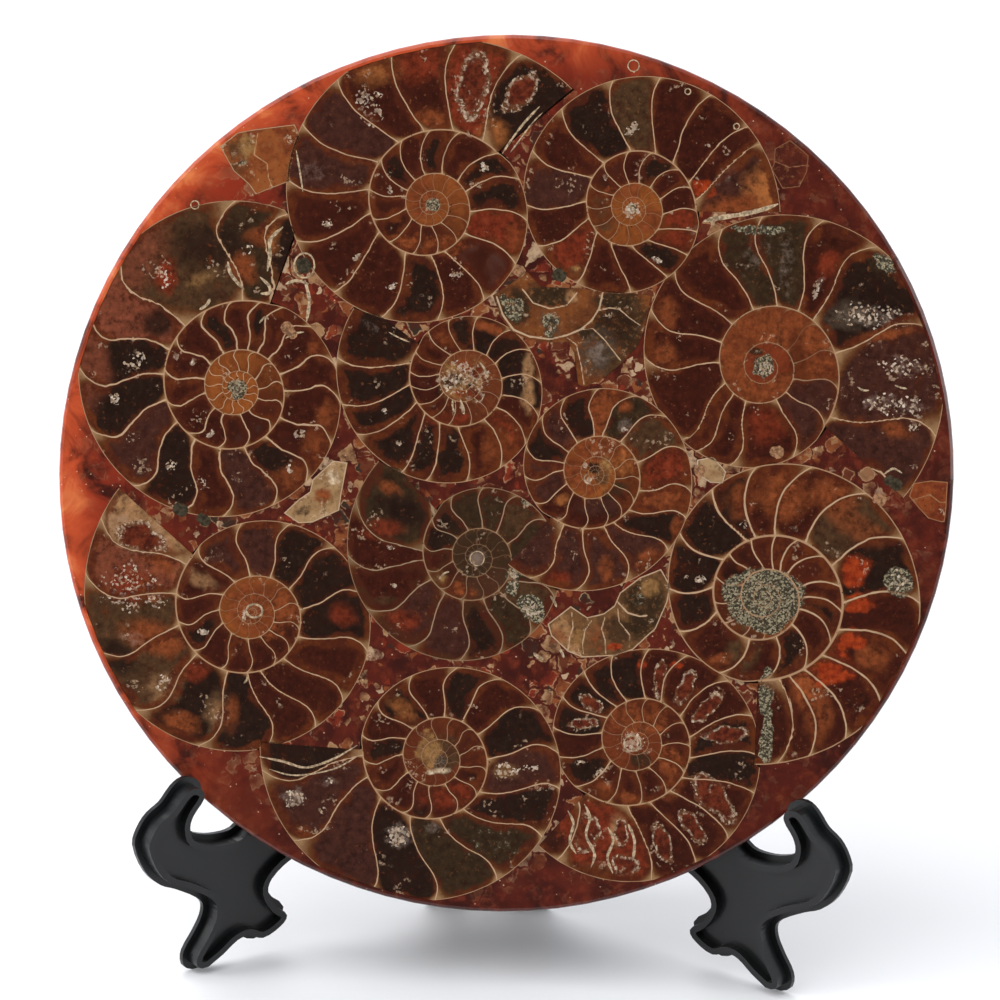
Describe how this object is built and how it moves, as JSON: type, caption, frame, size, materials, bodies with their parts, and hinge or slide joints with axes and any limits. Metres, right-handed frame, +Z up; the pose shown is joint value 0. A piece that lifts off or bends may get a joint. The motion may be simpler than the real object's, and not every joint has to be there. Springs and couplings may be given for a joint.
{
  "type": "ammonite fossil plate",
  "caption": "Thin round polished resin plate set with sliced ammonite fossils, leaning in a small folding easel-style display stand.",
  "frame": {"origin": "on the surface that the stand's feet rest on, midway under the whole object", "axes": "+Z is up, the plate's polished face looks along -Y and leans back by 14.5 degrees, and X runs across the plate, which is the stand's mirror direction"},
  "size_m": [0.0878, 0.0282, 0.0916],
  "materials": {
    "red_resin": "deep red cast resin, ground flat and polished",
    "ammonite_calcite": "polished calcite-filled ammonite chambers, red-brown with cream walls",
    "shell_chip": "polished amber, tan and cream shell",
    "black_plastic": "black moulded plastic with a satin sheen"
  },
  "bodies": {
    "root": {"resin_matrix": "red_resin", "ammonite_upper_left": "ammonite_calcite", "ammonite_upper_right": "ammonite_calcite", "ammonite_left": "ammonite_calcite", "ammonite_right": "ammonite_calcite", "ammonite_centre_top": "ammonite_calcite", "ammonite_centre_left": "ammonite_calcite", "ammonite_centre_right": "ammonite_calcite", "ammonite_lower_right": "ammonite_calcite", "ammonite_lower_left": "ammonite_calcite", "ammonite_bottom_left": "ammonite_calcite", "ammonite_bottom_right": "ammonite_calcite", "ammonite_fragment_top": "ammonite_calcite", "ammonite_fragment_bottom": "ammonite_calcite", "shell_chip_amber": "shell_chip", "shell_chip_tan": "shell_chip", "shell_chip_oval": "shell_chip", "shell_chip_cream": "shell_chip", "shell_chip_rim": "shell_chip", "stand_left": "black_plastic", "stand_right": "black_plastic"}
  },
  "joints": []
}
